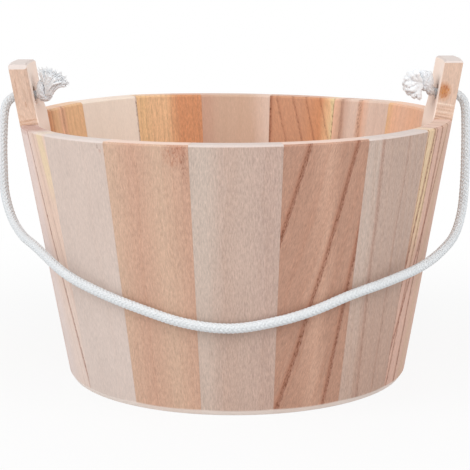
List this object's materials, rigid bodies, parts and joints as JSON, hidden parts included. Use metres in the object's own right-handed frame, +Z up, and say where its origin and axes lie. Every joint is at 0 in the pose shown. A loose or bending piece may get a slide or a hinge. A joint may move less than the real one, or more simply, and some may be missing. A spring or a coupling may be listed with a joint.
{
  "type": "sauna bucket",
  "caption": "Low tapered wooden bucket of glued staves with two tall ears, a boarded bottom and a white cotton rope handle knotted inside the ears.",
  "frame": {"origin": "centre of the foot, on the surface the bucket stands on", "axes": "+X from the left ear to the right ear, +Z up; the rope hangs in front, towards -Y"},
  "size_m": [0.3068, 0.2796, 0.2055],
  "materials": {
    "pale_stave": "bare planed softwood, pale grey-pink sapwood",
    "orange_stave": "bare planed softwood, orange-pink heartwood with dark growth lines",
    "ear_stave": "bare planed softwood, pink-beige",
    "bottom_board": "bare planed softwood",
    "bamboo_pin": "split bamboo",
    "cotton_rope": "white braided cotton"
  },
  "bodies": {
    "tub": {"front_stave_1": "orange_stave", "front_stave_2": "pale_stave", "front_stave_3": "orange_stave", "front_stave_4": "pale_stave", "front_stave_5": "orange_stave", "front_stave_6": "pale_stave", "front_stave_7": "orange_stave", "back_stave_1": "orange_stave", "back_stave_2": "pale_stave", "back_stave_3": "orange_stave", "back_stave_4": "pale_stave", "back_stave_5": "orange_stave", "back_stave_6": "pale_stave", "back_stave_7": "orange_stave", "ear_stave_left": "ear_stave", "ear_stave_right": "ear_stave", "stave_pin_01": "bamboo_pin", "stave_pin_02": "bamboo_pin", "stave_pin_03": "bamboo_pin", "stave_pin_04": "bamboo_pin", "stave_pin_05": "bamboo_pin", "stave_pin_06": "bamboo_pin", "stave_pin_07": "bamboo_pin", "stave_pin_08": "bamboo_pin", "stave_pin_09": "bamboo_pin", "stave_pin_10": "bamboo_pin", "stave_pin_11": "bamboo_pin", "stave_pin_12": "bamboo_pin", "stave_pin_13": "bamboo_pin", "stave_pin_14": "bamboo_pin", "stave_pin_15": "bamboo_pin", "stave_pin_16": "bamboo_pin", "bottom_board_1": "bottom_board", "bottom_board_2": "bottom_board", "bottom_board_3": "bottom_board", "bottom_board_4": "bottom_board", "bottom_dowel_1": "bamboo_pin", "bottom_dowel_2": "bamboo_pin", "bottom_dowel_3": "bamboo_pin", "bottom_dowel_4": "bamboo_pin", "bottom_dowel_5": "bamboo_pin", "bottom_dowel_6": "bamboo_pin"},
    "handle": {"handle_rope": "cotton_rope", "rope_knot_left": "cotton_rope", "rope_knot_right": "cotton_rope", "rope_end_left": "cotton_rope", "rope_end_right": "cotton_rope"}
  },
  "joints": [
    {"name": "handle_swing", "type": "hinge", "parent": "tub", "child": "handle", "pos_m": [0, 0, 0.183], "axis": [-1, 0, 0], "range_deg": [0, 268]}
  ]
}
